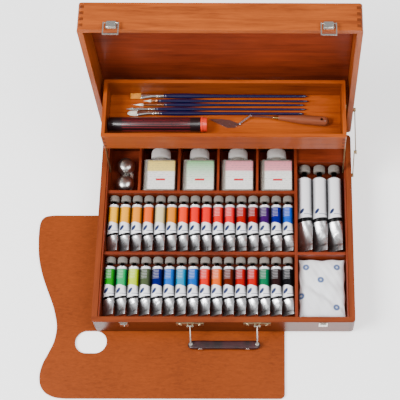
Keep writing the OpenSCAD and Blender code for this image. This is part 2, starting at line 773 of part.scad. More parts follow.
module dark_tube_cap() {
    color("red") dark_place() difference() {
        union() {
            translate([148.3, 0, 0]) rotate([0, 90, 0]) cylinder(r = dark_r + 0.9, h = 3);
            translate([151, 0, 0]) rotate([0, 90, 0]) cylinder(r = dark_r, h = 7);
        }
        translate([148, 0, 0]) rotate([0, 90, 0]) cylinder(r = 8.2, h = 8.5);
    }
}

// Drawing list

case_front_board();
case_back_board();
case_left_board();
case_right_board();
case_bottom_panel();
side_liners();
raised_tube_floor();
back_cross_divider();
front_cross_divider();
long_divider();
bottle_partitions();
column_rails();
column_floor();
case_hinge_leaves();
latch_catches();
handle_brackets();
lid_front_board();
lid_back_board();
lid_left_board();
lid_right_board();
lid_panel();
lid_hinge_leaves();
latch_bases();
left_latch_lever();
left_latch_bail();
right_latch_lever();
right_latch_bail();
stay_lower_link();
stay_upper_link();
front_arms();
rear_arms();
tray_front_board();
tray_back_board();
tray_left_board();
tray_right_board();
tray_floor();
handle_links();
handle_grip();
palette();
back_row_tubes();
back_row_caps();
front_row_tubes();
front_row_caps();
large_tubes();
large_tube_caps();
bottles();
bottle_caps();
dipper_cups();
dipper_lids();
cloth_bag();
brush_handles();
brush_ferrules();
brush_bristles();
knife_blade();
knife_ferrule();
knife_handle();
dark_tube();
dark_tube_cap();
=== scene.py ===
"""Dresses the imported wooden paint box: boards, hardware, tubes, bottles, brushes, pouch and the stage."""
import json
import math

import bpy
import numpy as np
from bpy.props import FloatProperty, FloatVectorProperty, IntProperty, PointerProperty
from mathutils import Matrix, Vector

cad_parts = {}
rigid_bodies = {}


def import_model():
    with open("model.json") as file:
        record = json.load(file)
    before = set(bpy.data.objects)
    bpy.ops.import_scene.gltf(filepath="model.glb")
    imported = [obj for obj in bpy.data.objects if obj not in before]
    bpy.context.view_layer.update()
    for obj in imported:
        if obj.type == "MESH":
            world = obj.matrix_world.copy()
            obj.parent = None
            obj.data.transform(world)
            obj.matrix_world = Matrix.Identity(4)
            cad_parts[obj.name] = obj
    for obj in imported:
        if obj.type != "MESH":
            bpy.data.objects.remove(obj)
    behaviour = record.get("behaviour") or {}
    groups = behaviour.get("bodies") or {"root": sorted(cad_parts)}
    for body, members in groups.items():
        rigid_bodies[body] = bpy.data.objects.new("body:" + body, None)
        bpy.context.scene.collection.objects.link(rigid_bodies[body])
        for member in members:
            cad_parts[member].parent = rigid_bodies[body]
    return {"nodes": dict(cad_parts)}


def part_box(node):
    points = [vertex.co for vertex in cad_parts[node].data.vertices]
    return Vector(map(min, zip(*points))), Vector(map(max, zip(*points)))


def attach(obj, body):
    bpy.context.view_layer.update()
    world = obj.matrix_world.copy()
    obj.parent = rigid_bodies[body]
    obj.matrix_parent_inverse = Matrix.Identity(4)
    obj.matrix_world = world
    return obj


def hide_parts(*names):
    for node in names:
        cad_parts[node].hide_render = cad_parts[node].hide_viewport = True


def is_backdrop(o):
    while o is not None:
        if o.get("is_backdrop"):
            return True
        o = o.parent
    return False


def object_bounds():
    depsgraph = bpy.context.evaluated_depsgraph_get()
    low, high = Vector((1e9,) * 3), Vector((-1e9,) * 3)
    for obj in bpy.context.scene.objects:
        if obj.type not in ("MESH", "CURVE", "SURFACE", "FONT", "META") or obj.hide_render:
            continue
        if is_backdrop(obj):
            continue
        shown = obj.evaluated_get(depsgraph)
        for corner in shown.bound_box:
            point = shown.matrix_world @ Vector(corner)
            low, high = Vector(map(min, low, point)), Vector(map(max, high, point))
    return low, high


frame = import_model()
CAD_BOX = [list(corner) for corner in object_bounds()]
NODES = frame["nodes"]
MM = 0.001
# Axes along which grain, rolling and polishing run.
ALONG_X, ALONG_Y, ALONG_Z = 0, 1, 2

bl_info = {
    "name": "Wooden paint box",
    "version": (1, 0, 0),
    "blender": (4, 5, 0),
    "location": "View3D > Sidebar > Paint box",
    "description": "Materials, paint tubes, soft pieces and stage for the wooden paint box",
    "category": "Object",
}


def linear(code):
    """sRGB hex colour to linear red, green and blue."""
    parts = [int(code[i:i + 2], 16) / 255 for i in (1, 3, 5)]
    return tuple(c / 12.92 if c <= 0.04045 else ((c + 0.055) / 1.055) ** 2.4 for c in parts)


def colour(name, code):
    """A colour setting whose default is an sRGB hex value."""
    return FloatVectorProperty(
        name=name, description=name, subtype="COLOR", size=3, min=0, max=1, default=linear(code))


def number(name, note, value, **more):
    """A number setting with a note on what it does."""
    return FloatProperty(name=name, description=note, default=value, **more)


def millimetres(name, value, low=0.0, high=500.0):
    """A length setting, kept in millimetres."""
    return number(name, name + " in millimetres", value, min=low, max=high)


# Settings


class PAINTBOX_PG_wood(bpy.types.PropertyGroup):
    """Colours and grain sizes of the boards."""
    case_dark: colour("Case grain", "#521D0A")
    case_light: colour("Case wood", "#843A16")
    lid_dark: colour("Lid grain", "#6A2C10")
    lid_light: colour("Lid wood", "#B0561E")
    inner_dark: colour("Inner grain", "#441409")
    inner_light: colour("Inner wood", "#863418")
    tray_dark: colour("Tray grain", "#6E280A")
    tray_light: colour("Tray wood", "#AC5016")
    palette_dark: colour("Palette grain", "#6C2E0C")
    palette_light: colour("Palette wood", "#8C3E10")
    figure: millimetres("Width of the figure bands", 9.0)
    fibre: millimetres("Width of the fibres", 1.1)
    arris: millimetres("Rounding of the board edges", 0.7)


class PAINTBOX_PG_tubes(bpy.types.PropertyGroup):
    """Shape of the paint tubes."""
    crimp_turn: number("Crimp turn", "How far the flat end is turned", 0.72, subtype="ANGLE")
    crimp_width: number("Crimp width", "Crimp width over the tube diameter", 1.3)
    ridges: IntProperty(name="Cap ridges", description="Ridges round a screw cap", default=30, min=8)


class PAINTBOX_PG_bag(bpy.types.PropertyGroup):
    """The soft pouch."""
    cloth: colour("Cloth", "#F4F5F8")
    motif: colour("Printed rings", "#27508A")
    crease: millimetres("Depth of the creases", 2.0)


class PAINTBOX_PG_stage(bpy.types.PropertyGroup):
    """Camera, floor and lights."""
    camera_place: FloatVectorProperty(
        name="Camera place", description="Lens centre", size=3, subtype="TRANSLATION",
        default=(0.07736, -0.73089, 1.93163))
    camera_yaw: number("Yaw", "Turn to the right", math.radians(0.82), subtype="ANGLE")
    camera_pitch: number("Pitch", "Tilt below the horizon", math.radians(64.84), subtype="ANGLE")
    camera_roll: number("Roll", "Turn about the view line", math.radians(0.89), subtype="ANGLE")
    focal: number("Focal length", "In millimetres on a 36 mm sensor", 109.87)
    shift_x: number("Shift across", "Part of the picture's width", -0.2)
    shift_y: number("Shift up", "Part of the picture's width", -0.1437)
    floor: colour("Floor", "#FFFFFF")


class PAINTBOX_PG_settings(bpy.types.PropertyGroup):
    """All settings of the paint box."""
    wood: PointerProperty(type=PAINTBOX_PG_wood)
    tubes: PointerProperty(type=PAINTBOX_PG_tubes)
    bag: PointerProperty(type=PAINTBOX_PG_bag)
    stage: PointerProperty(type=PAINTBOX_PG_stage)


# Mesh making


def lattice(rings, around):
    """Quads of a closed tube of rings: point k of ring j is j * around + k."""
    j, k = np.meshgrid(np.arange(rings - 1), np.arange(around), indexing="ij")
    right = (k + 1) % around
    quads = np.stack([j * around + k, j * around + right, (j + 1) * around + right, (j + 1) * around + k], -1)
    return quads.reshape(-1, 4)


def sheet_quads(rows, columns):
    """Quads of an open grid of rows and columns."""
    j, k = np.meshgrid(np.arange(rows - 1), np.arange(columns - 1), indexing="ij")
    a = j * columns + k
    return np.stack([a, a + 1, a + columns + 1, a + columns], -1).reshape(-1, 4)


def closed_skin(points):
    """Vertices and faces of a skin of rings, shape (rings, around, 3), closed by a fan at both ends.

    The middle of the first and the last ring are the two poles.
    """
    rings, around = points.shape[:2]
    flat = points.reshape(-1, 3)
    first, last = points[0].mean(0), points[-1].mean(0)
    verts = np.vstack([flat, first, last])
    quads = lattice(rings, around)
    k = np.arange(around)
    right = (k + 1) % around
    low = np.stack([np.full(around, rings * around), right, k], -1)
    base = (rings - 1) * around
    high = np.stack([np.full(around, rings * around + 1), base + k, base + right], -1)
    return verts, [quads, np.vstack([low, high])]


def joined(skins):
    """One set of vertices and faces from several."""
    verts, groups, start = [], [], 0
    for points, faces in skins:
        verts.append(points)
        groups += [f + start for f in faces]
        start += len(points)
    return np.vstack(verts), groups


def build(name, skins, material, body, node=None, flip=False):
    """Puts skins into one smooth mesh that rides on a body and may stand for a CAD node."""
    verts, groups = joined(skins)
    sizes = np.concatenate([np.full(len(g), g.shape[1]) for g in groups])
    corners = np.concatenate([(g[:, ::-1] if flip else g).ravel() for g in groups])
    mesh = bpy.data.meshes.new(name)
    mesh.vertices.add(len(verts))
    mesh.vertices.foreach_set("co", verts.astype(np.float32).ravel())
    mesh.loops.add(len(corners))
    mesh.loops.foreach_set("vertex_index", corners.astype(np.int32))
    mesh.polygons.add(len(sizes))
    mesh.polygons.foreach_set("loop_start", (np.cumsum(sizes) - sizes).astype(np.int32))
    mesh.polygons.foreach_set("use_smooth", np.ones(len(sizes), bool))
    mesh.update(calc_edges=True)
    mesh.validate()
    piece = bpy.data.objects.new(name, mesh)
    bpy.context.scene.collection.objects.link(piece)
    mesh.materials.append(material)
    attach(piece, body)
    for n in ([node] if isinstance(node, str) else node or []):
        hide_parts(n)
    return piece


def revolved(profile, around=32, axis=1, ridge=None):
    """Rings round an axis: profile rows are (distance along, radius), and ridge(angle, along) scales it.

    A point is along * axis + radius * (cos a, sin a) in the two other directions.
    """
    profile = np.array(profile, float)
    a = np.linspace(0, 2 * math.pi, around, endpoint=False)
    along = np.repeat(profile[:, 0][:, None], around, 1)
    radius = np.repeat(profile[:, 1][:, None], around, 1)
    if ridge is not None:
        radius = radius * ridge(a[None, :], along)
    points = np.zeros((len(profile), around, 3))
    first, second = [i for i in (0, 1, 2) if i != axis]
    points[..., axis] = along
    points[..., first] = radius * np.cos(a)
    points[..., second] = radius * np.sin(a)
    return points[:, ::-1] if axis == 1 else points


def islands(node):
    """Lowest and highest corners of each separate outer skin of a CAD node, sorted along X."""
    mesh = NODES[node].data
    co = np.zeros(len(mesh.vertices) * 3)
    mesh.vertices.foreach_get("co", co)
    co = co.reshape(-1, 3)
    _, place = np.unique(np.round(co, 7), axis=0, return_inverse=True)
    place = place.ravel()
    tris = np.zeros(len(mesh.polygons) * 3, np.int64)
    mesh.polygons.foreach_get("vertices", tris)
    tris = place[tris.reshape(-1, 3)]
    label = np.arange(place.max() + 1)
    for _ in range(1000):
        low = label[tris].min(1)
        new = label.copy()
        for c in range(3):
            np.minimum.at(new, tris[:, c], low)
        new = new[new]
        if (new == label).all():
            break
        label = new
    of_vertex = label[place]
    groups = [co[of_vertex == value] for value in np.unique(of_vertex)]
    found = [(p.min(0), p.max(0)) for p in groups]
    inner = lambda a, b: a is not b and (a[0] > b[0]).all() and (a[1] < b[1]).all()
    found = [a for a in found if not any(inner(a, b) for b in found)]
    return sorted(found, key=lambda b: (round(b[0][0], 4), b[0][1]))


def soften(node, width, segments=2):
    """Small rounding on the edges of a CAD node, by modifiers alone."""
    modifiers = NODES[node].modifiers
    modifiers.new("weld", "WELD").merge_threshold = 1e-5
    bevel = modifiers.new("arris", "BEVEL")
    bevel.width = width
    bevel.segments = segments
    bevel.limit_method = "ANGLE"
    bevel.angle_limit = math.radians(40)
    bevel.harden_normals = False


# Material making


def put(tree, kind, sockets=None, **settings):
    """Adds a node with its settings, and fills its inputs with values or with other nodes' outputs."""
    made = tree.nodes.new(kind)
    for key, value in settings.items():
        setattr(made, key, value)
    for key, value in (sockets or {}).items():
        if isinstance(value, bpy.types.NodeSocket):
            tree.links.new(value, made.inputs[key])
        else:
            made.inputs[key].default_value = value
    return made


def new_material(name, **values):
    """A material with one Principled shader: returns the material, its tree and the shader."""
    material = bpy.data.materials.new(name)
    material.use_nodes = True
    tree = material.node_tree
    tree.nodes.clear()
    shader = put(tree, "ShaderNodeBsdfPrincipled", {k.replace("_", " "): v for k, v in values.items()})
    put(tree, "ShaderNodeOutputMaterial", {"Surface": shader.outputs["BSDF"]})
    return material, tree, shader


def opaque(rgb):
    """Red, green, blue and full alpha."""
    return (*rgb[:3], 1.0)


def rgba(code):
    """sRGB hex colour to linear red, green, blue and full alpha."""
    return opaque(linear(code))


def graded(tree, value, stops, mode="LINEAR"):
    """Colour that a value picks from a ramp of (place, colour) stops."""
    ramp = put(tree, "ShaderNodeValToRGB", {"Fac": value})
    ramp.color_ramp.interpolation = mode
    elements = ramp.color_ramp.elements
    while len(elements) > 1:
        elements.remove(elements[-1])
    elements[0].position, elements[0].color = stops[0]
    for place, code in stops[1:]:
        elements.new(place).color = code
    return ramp.outputs["Color"]


def maths(tree, operation, *values):
    """Result of a maths node on up to three values or outputs."""
    return put(tree, "ShaderNodeMath", dict(enumerate(values)), operation=operation).outputs[0]


def ranged(tree, value, low, high, to_low=0.0, to_high=1.0):
    """A value carried from one range to another and held at its ends."""
    return put(tree, "ShaderNodeMapRange", {
        "Value": value, "From Min": low, "From Max": high, "To Min": to_low, "To Max": to_high}).outputs[0]


def over(tree, under, top, share):
    """Colour top laid over colour under by a share."""
    return put(tree, "ShaderNodeMix", {0: share, 6: under, 7: top}, data_type="RGBA").outputs[2]


def noise(tree, place, scale, detail=2.0, **more):
    """Noise from 0 to 1, with scale in waves per metre."""
    sockets = {"Vector": place, "Scale": scale, "Detail": detail, **more}
    return put(tree, "ShaderNodeTexNoise", sockets).outputs["Fac"]


def waves(tree, value, spacing):
    """Sine of a coordinate that repeats at a spacing."""
    return maths(tree, "SINE", maths(tree, "MULTIPLY", value, 2 * math.pi / spacing))


def coordinates(tree):
    """Object coordinates as one vector, and as X, Y and Z apart."""
    place = put(tree, "ShaderNodeTexCoord").outputs["Object"]
    return place, put(tree, "ShaderNodeSeparateXYZ", {"Vector": place}).outputs


def facing(tree, axis):
    """1 where the surface faces along an axis, 0 where it lies along it."""
    normal = put(tree, "ShaderNodeTexCoord").outputs["Normal"]
    return maths(tree, "ABSOLUTE", put(tree, "ShaderNodeSeparateXYZ", {"Vector": normal}).outputs[axis])


def stretched(tree, axis, share, offset=(0, 0, 0)):
    """Object coordinates pressed together along an axis, so that noise on them runs along it."""
    scale = [1.0, 1.0, 1.0]
    scale[axis] = share
    place = put(tree, "ShaderNodeTexCoord").outputs["Object"]
    return put(tree, "ShaderNodeMapping", {"Vector": place, "Location": offset, "Scale": scale}).outputs[0]


def feed(shader, socket, source):
    """Takes a shader's input from an output."""
    shader.id_data.links.new(source, shader.inputs[socket])


def bumped(shader, height, depth, strength=1.0):
    """Fine relief on a shader from a height output, depth in metres."""
    sockets = {"Height": height, "Strength": strength, "Distance": depth}
    feed(shader, "Normal", put(shader.id_data, "ShaderNodeBump", sockets).outputs["Normal"])


def darker(rgb, share):
    """An opaque colour cut down to a share of its light."""
    return opaque(tuple(c * share for c in rgb))


def varnished_wood(name, dark, light, grain, seed, roughness=0.34, upright_shade=0.0, figure=1.0, press=0.07):
    """Hardwood board under satin varnish, with the grain along an axis.

    Colour mixes dark and light by three noises pressed along the grain: the broad figure, the fibres
    and slow patches. Faces across the grain are end grain and turn darker. Vertical faces at rest get
    painted shade: they are mixed darker by a given share, as if less light fell on them than on the tops.
    """
    wood = bpy.context.scene.paint_box.wood
    dark, light = tuple(dark), tuple(light)
    material, tree, shader = new_material(
        name, Coat_Weight=0.08, Coat_Roughness=0.12, IOR=1.45, Specular_IOR_Level=0.25)
    place = coordinates(tree)[0]
    grid = stretched(tree, grain, press, (seed * 1.7, seed * 0.9, seed * 2.3))
    bands = noise(tree, grid, 1 / (wood.figure * figure * MM), 5.0, Roughness=0.55, Distortion=0.9)
    fibre = noise(tree, grid, 1 / (wood.fibre * MM), 3.0, Roughness=0.7)
    tone = maths(tree, "MULTIPLY", bands, 0.55)
    tone = maths(tree, "MULTIPLY_ADD", fibre, 0.25, tone)
    tone = maths(tree, "MULTIPLY_ADD", noise(tree, place, 9.0), 0.3, tone)
    middle = tuple(0.45 * a + 0.55 * b for a, b in zip(dark, light))
    look = graded(tree, tone, [(0.36, opaque(dark)), (0.5, opaque(middle)), (0.68, opaque(light))])
    end_grain = ranged(tree, facing(tree, grain), 0.6, 0.9, 0.0, 0.62)
    look = over(tree, look, darker(dark, 0.42), end_grain)
    # Painted shade: faces that stand vertical at rest are mixed towards a dark brown by the given share.
    painted_vertical_shade = ranged(tree, facing(tree, ALONG_Z), 0.3, 0.7, upright_shade, 0.0)
    look = over(tree, look, darker(dark, 0.3), painted_vertical_shade)
    feed(shader, "Base Color", look)
    feed(shader, "Roughness", ranged(tree, fibre, 0, 1, roughness - 0.06, roughness + 0.1))
    bumped(shader, fibre, 0.00025, 0.25)
    return material


def plated_metal(name, code, roughness, streak=ALONG_X, fine=0.5):
    """Bare or plated metal: full metallic, with faint streaks from rolling or polishing along an axis."""
    material, tree, shader = new_material(name, Base_Color=rgba(code), Metallic=1.0)
    grain = noise(tree, stretched(tree, streak, 0.1), 1 / (fine * MM), 4.0)
    feed(shader, "Roughness", ranged(tree, grain, 0, 1, roughness * 0.7, roughness * 1.35))
    bumped(shader, grain, 0.00004, 0.4)
    return material


def moulded_plastic(name, code, roughness):
    """Injection moulded plastic: even colour with a very fine spark texture that dulls the gloss."""
    material, tree, shader = new_material(name, Base_Color=rgba(code), IOR=1.49)
    spark = noise(tree, coordinates(tree)[0], 2500.0)
    feed(shader, "Roughness", ranged(tree, spark, 0, 1, roughness - 0.08, roughness + 0.08))
    bumped(shader, spark, 0.00005, 0.3)
    return material


def dress(node, material, rounding, segments=2):
    """Gives a CAD node a material and rounds its edges."""
    materials = NODES[node].data.materials
    materials.clear()
    materials.append(material)
    soften(node, rounding, segments)


# Boards


class PAINTBOX_OT_boards(bpy.types.Operator):
    """Varnish on the case, lid, tray and dividers, each board with its own grain."""
    bl_idname = "paintbox.boards"
    bl_label = "Boards"

    def execute(self, context):
        wood = context.scene.paint_box.wood

        def four_boards(group, ends):
            """Grain of a frame's boards: along X in front and back, along ends at left and right."""
            grains = {"front": ALONG_X, "back": ALONG_X, "left": ends, "right": ends}
            return {f"{group}_{side}_board": grain for side, grain in grains.items()}

        # Group, its two colours, how much painted shade darkens its vertical faces, and its boards with their
        # grain.
        plan = [
            ("case", wood.case_dark, wood.case_light, 0.5, four_boards("case", ALONG_Y)),
            ("lid", wood.lid_dark, wood.lid_light, 0.2, four_boards("lid", ALONG_Z)),
            ("inner", wood.inner_dark, wood.inner_light, 0.0, {
                "lid_panel": ALONG_X, "case_bottom_panel": ALONG_X, "side_liners": ALONG_Y,
                "raised_tube_floor": ALONG_X, "column_floor": ALONG_Y, "back_cross_divider": ALONG_X,
                "front_cross_divider": ALONG_X, "long_divider": ALONG_Y, "bottle_partitions": ALONG_Y,
                "column_rails": ALONG_X}),
            ("tray", wood.tray_dark, wood.tray_light, 0.25, {
                **four_boards("tray", ALONG_Y), "tray_floor": ALONG_X}),
        ]
        seed = 1
        for group, dark, light, upright_shade, boards in plan:
            for node, grain in boards.items():
                beech = varnished_wood(f"{group} beech {node}", dark, light, grain, seed, upright_shade=upright_shade)
                dress(node, beech, wood.arris * MM)
                seed += 1
        return {"FINISHED"}


class PAINTBOX_OT_palette(bpy.types.Operator):
    """Thin varnished palette board."""
    bl_idname = "paintbox.palette"
    bl_label = "Palette"

    def execute(self, context):
        wood = context.scene.paint_box.wood
        plywood = varnished_wood("palette plywood", wood.palette_dark, wood.palette_light, ALONG_X, 31, 0.3,
                                 figure=0.35, press=0.3)
        dress("palette", plywood, 1.0 * MM)
        return {"FINISHED"}


class PAINTBOX_OT_hardware(bpy.types.Operator):
    """Nickel latches and hinges, worn brackets, and brass strip arms and stay."""
    bl_idname = "paintbox.hardware"
    bl_label = "Hardware"

    def execute(self, context):
        # Nickel plate on pressed steel is bright with a warm grey cast.
        nickel = plated_metal("nickel plate", "#CFCAC2", 0.26)
        for node in ("case_hinge_leaves", "lid_hinge_leaves", "latch_catches", "latch_bases",
                     "left_latch_lever", "left_latch_bail", "right_latch_lever", "right_latch_bail",
                     "handle_links"):
            dress(node, nickel, 0.15 * MM)
        # Thin worn plate over brass looks warmer than the latches.
        dress("handle_brackets", plated_metal("worn plated brass", "#B9A988", 0.3), 0.15 * MM)
        # Rolled brass strip gone dull shows brown-grey with soft glints along its length.
        strip = plated_metal("dull brass strip", "#9C8560", 0.38, ALONG_Z)
        for node in ("stay_lower_link", "stay_upper_link", "front_arms", "rear_arms"):
            dress(node, strip, 0.2 * MM)
        return {"FINISHED"}


class PAINTBOX_OT_handle(bpy.types.Operator):
    """Leather grip with a slight waist, pressed grain and two studs."""
    bl_idname = "paintbox.handle"
    bl_label = "Handle grip"

    def execute(self, context):
        low, high = (np.array(c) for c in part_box("handle_grip"))
        centre, half = (low + high) / 2, (high - low) / 2
        # Dark brown bridle leather: smooth, waxed, with a soft broad sheen.
        material, tree, shader = new_material("bridle leather", Roughness=0.38, IOR=1.45, Coat_Weight=0.15)
        place = coordinates(tree)[0]
        pores = put(tree, "ShaderNodeTexVoronoi", {"Vector": place, "Scale": 1400.0})
        browns = [(0.3, rgba("#1A080B")), (0.7, rgba("#3C141A"))]
        feed(shader, "Base Color", graded(tree, noise(tree, place, 60.0, 4.0), browns))
        bumped(shader, pores.outputs["Distance"], 0.0002, 0.4)
        # Rounded bar along X: a squared section with a slight waist that closes at both ends.
        u = np.linspace(-1, 1, 61)
        a = np.linspace(0, 2 * math.pi, 32, endpoint=False)
        end = (1 - np.abs(u) ** 14) ** 0.5
        waist = 1 - 0.05 * np.cos(u * math.pi / 2) ** 2
        corner = lambda v: np.sign(v) * np.abs(v) ** 0.36
        points = np.zeros((len(u), len(a), 3))
        points[..., 0] = (centre[0] + half[0] * u)[:, None]
        points[..., 1] = centre[1] + half[1] * (end * waist)[:, None] * corner(np.cos(a))
        points[..., 2] = centre[2] + half[2] * (end * waist)[:, None] * corner(np.sin(a))
        build("leather_grip", [closed_skin(points)], material, "handle", "handle_grip")
        # Two small plated studs stand on the front edge.
        nickel = plated_metal("stud plate", "#D8D2C8", 0.22)
        studs = []
        profile = np.array([(0, 2.6), (-0.5, 2.4), (-1.0, 1.5), (-1.2, 0.4)]) * MM
        for side in (-1, 1):
            dome = revolved(profile, 24)
            dome[..., 0] = dome[..., 0] * 1.5 + side * 38 * MM
            dome[..., 1] += centre[1] - half[1] * 0.96
            dome[..., 2] += centre[2] + 1 * MM
            studs.append(closed_skin(dome))
        build("grip_studs", studs, nickel, "handle", None, flip=True)
        return {"FINISHED"}


# Paint tubes


BACK_COLOURS = ["#FFC400", "#FABA00", "#F2A600", "#F28600", "#E8D8A8", "#E69A00", "#F8785A", "#F26600",
                "#F22E06", "#E81A1E", "#EB1F6B", "#A81B1F", "#8E1236", "#3F1658", "#1F2179", "#2A6CC0"]
FRONT_COLOURS = ["#0A8A3E", "#04A36A", "#C5DB2C", "#46503B", "#14285F", "#0C78C2", "#0C92B8", "#0670B8",
                 "#E0641C", "#E8821A", "#5A2A1A", "#A81E2C", "#BE2B33", "#066B4B", "#231314", "#0B0B0E"]
WHITE_LABELS = ["#F2F3F8"] * 3


def tube_skin(low, high, turn, widen, seed):
    """Skin of one filled tube that lies along Y, from its crimped end to its neck.

    Each section is an ellipse. Its long half axis grows from the radius to the crimp's half width while the
    short one falls to the sheet's thickness, and the whole section turns by a fixed angle towards the crimp.
    """
    length = high[1] - low[1]
    radius = (high[0] - low[0]) / 2
    centre = (low + high) / 2
    around = 40
    # The end is folded over up to fold_end, and flattening fades out from there to half the length.
    fold_end, sheet, fold = 0.064, 0.9 * MM, 1.5 * MM
    s = np.concatenate([[0, 0.004], np.linspace(0.006, 0.062, 5), np.linspace(0.066, 0.84, 46), [0.85]])
    flat = np.clip((0.52 - s) / 0.47, 0, 1)
    flat = flat * flat * (3 - 2 * flat)
    thin = radius * (1 - flat) ** 0.9 + sheet * flat
    thin = np.where(s < fold_end, fold, thin)
    wide = radius * (1 + (widen - 1) * flat)
    a = np.linspace(0, 2 * math.pi, around, endpoint=False)
    rng = np.random.default_rng(seed)
    along = s[:, None] * length / MM
    dents = sum(rng.uniform(0.1, 0.35) * np.sin(
        along * rng.uniform(0.12, 0.35) + a * rng.integers(2, 5) + rng.uniform(0, 6)) for _ in range(4))
    ripple = 1 + 0.05 * flat[:, None] * (1 - flat[:, None]) * 4 * dents * 0.5
    across = wide[:, None] * np.cos(a) * ripple
    up = thin[:, None] * np.sin(a) * ripple
    angle = turn * flat[:, None]
    body = np.zeros((len(s), around, 3))
    body[..., 0] = centre[0] + across * np.cos(angle) - up * np.sin(angle)
    body[..., 2] = centre[2] + across * np.sin(angle) + up * np.cos(angle)
    body[..., 1] = low[1] + s[:, None] * length
    # Shoulder and threaded neck: a cone, then a thin stem.
    stem = 0.42 * radius * 0.9
    shoulder = [(0.853, radius * 1.02), (0.862, radius * 1.02), (0.87, radius * 0.96), (0.895, stem * 1.3),
                (0.9, stem), (1.0, stem)]
    share, r = np.array(shoulder).T[..., None]
    rings = np.zeros((len(shoulder), around, 3))
    rings[..., 0] = centre[0] + r * np.cos(a)
    rings[..., 1] = low[1] + share * length
    rings[..., 2] = centre[2] + r * np.sin(a)
    return closed_skin(np.concatenate([body, rings]))


def cap_skin(low, high, ridges, widen=1.07, lengthen=1.0):
    """Ribbed screw cap along Y: the radius tapers to the top and swings with a squared wave."""
    radius = (high[0] - low[0]) / 2 * widen
    centre = (low + high) / 2
    length = (high[1] - low[1]) * lengthen
    profile = [(0, 0.62), (0, 0.98), (0.06, 1.0), (0.62, 0.99), (0.8, 0.97), (0.94, 0.93), (1.0, 0.84),
               (1.0, 0.2)]

    def grip(a, y):
        """Ridges on the side, between a plain foot and a plain top."""
        side = (y > 0.03 * length) & (y < 0.86 * length)
        return 0.965 + 0.035 * np.tanh(2 * np.sin(a * ridges)) * side

    points = revolved([(along * length, r * radius) for along, r in profile], ridges * 6, 1, grip)
    points[..., 0] += centre[0]
    points[..., 1] += low[1]
    points[..., 2] += centre[2]
    return closed_skin(points)


def printed_tube(name, boxes, colours, zones, tint_from):
    """Aluminium paint tube with printed bands.

    The tube's number is found from X, and gives its colour. Bands lie along Y: bare crimp, black ring,
    white label, colour field with a waved lower edge, white ring and bare shoulder. The field's upper
    part has rows of lighter print from tube tint_from on.
    """
    count = len(boxes)
    first, last = ((low[0] + high[0]) / 2 for low, high in (boxes[0], boxes[-1]))
    pitch = (last - first) / (count - 1)
    start = first - pitch / 2
    material, tree, shader = new_material(
        name, IOR=1.45, Specular_IOR_Level=0.12, Coat_Weight=0.04, Coat_Roughness=0.1)
    place, (x, y, _) = coordinates(tree)
    row = ranged(tree, x, start, start + pitch * count)
    # Each colour is made purer: its weaker parts fall and its strongest part stays.
    pure = lambda rgb: tuple(max(0.0, 1.2 * c - 0.2 * max(rgb)) for c in rgb)
    stops = [(i / count, opaque(pure(linear(code)))) for i, code in enumerate(colours)]
    paint = graded(tree, row, stops, "CONSTANT")
    part = maths(tree, "FRACT", maths(tree, "MULTIPLY", row, count))
    wave = maths(tree, "SINE", maths(tree, "MULTIPLY", part, 5.2))
    waved = maths(tree, "MULTIPLY_ADD", wave, -1.1 * MM, y)
    tilted = maths(tree, "ADD", maths(tree, "MULTIPLY", part, -3.0 * MM), y)
    metal, white, black = (rgba(code) for code in ("#D5D6D8", "#F6F7FB", "#0B0B0D"))

    def above(value, edge, soft=0.25 * MM):
        """1 where value is above an edge."""
        return ranged(tree, value, edge - soft, edge + soft)

    printed = above(tilted, zones["ring"])
    look = over(tree, metal, black, printed)
    look = over(tree, look, white, above(tilted, zones["label"]))
    if "field" in zones:
        late = above(row, tint_from / count, 0.001)
        upper = above(y, zones["tint"], 0.3 * MM)
        patch = maths(tree, "MULTIPLY", late, upper)
        patch = maths(tree, "MULTIPLY", patch, maths(tree, "LESS_THAN", part, 0.64))
        patch = maths(tree, "MULTIPLY", patch, ranged(tree, waves(tree, y, 2.6 * MM), 0.0, 0.5))
        field = over(tree, paint, over(tree, paint, white, 0.3), patch)
        look = over(tree, look, field, above(waved, zones["field"]))
        look = over(tree, look, white, above(y, zones["collar"]))
    # A plain leaf-shaped dab of dark ink and a thin rule beside it stand on the label.
    aside = maths(tree, "MULTIPLY", maths(tree, "SUBTRACT", part, 0.3), pitch)
    slant = maths(tree, "MULTIPLY_ADD", aside, -0.7, maths(tree, "SUBTRACT", y, zones["dab"]))
    point = put(tree, "ShaderNodeCombineXYZ", {"X": aside, "Y": slant})
    reach = put(tree, "ShaderNodeVectorMath", {0: point.outputs[0]}, operation="LENGTH").outputs["Value"]
    look = over(tree, look, rgba("#1C2A55"), ranged(tree, reach, 3.0 * MM, 4.2 * MM, 1.0, 0.0))
    rule = maths(tree, "SUBTRACT", above(y, zones["dab"] - 5.2 * MM, 0.2 * MM),
                 above(y, zones["dab"] - 4.1 * MM, 0.2 * MM))
    rule = maths(tree, "MULTIPLY", rule, maths(tree, "GREATER_THAN", part, 0.42))
    look = over(tree, look, rgba("#7A8098"), rule)
    bare_top = above(y, zones["shoulder"])
    look = over(tree, look, metal, bare_top)
    # Painted shadow: from the neck zone up, the shoulder and neck under the cap are painted black as the
    # cap's shadow.
    look = over(tree, look, black, above(y, zones["neck"]))
    # Painted shade on the flanks, where the tubes lie side by side: faces turned along X are mixed towards
    # black.
    look = over(tree, look, black, ranged(tree, facing(tree, ALONG_X), 0.5, 0.92, 0.0, 0.9))
    feed(shader, "Base Color", look)
    metallic = ranged(tree, maths(tree, "SUBTRACT", printed, bare_top), 0, 1, 0.95, 0.0)
    feed(shader, "Metallic", metallic)
    crumple = noise(tree, place, 75.0, 1.5, Distortion=1.0)
    feed(shader, "Roughness", ranged(tree, crumple, 0, 1, 0.22, 0.36))
    bumped(shader, maths(tree, "MULTIPLY", metallic, crumple), 0.0018, 0.4)
    return material


def row_zones(box, **shares):
    """Places along Y at given shares of a tube's length, by name."""
    low, high = box
    return {name: low[1] + share * (high[1] - low[1]) for name, share in shares.items()}


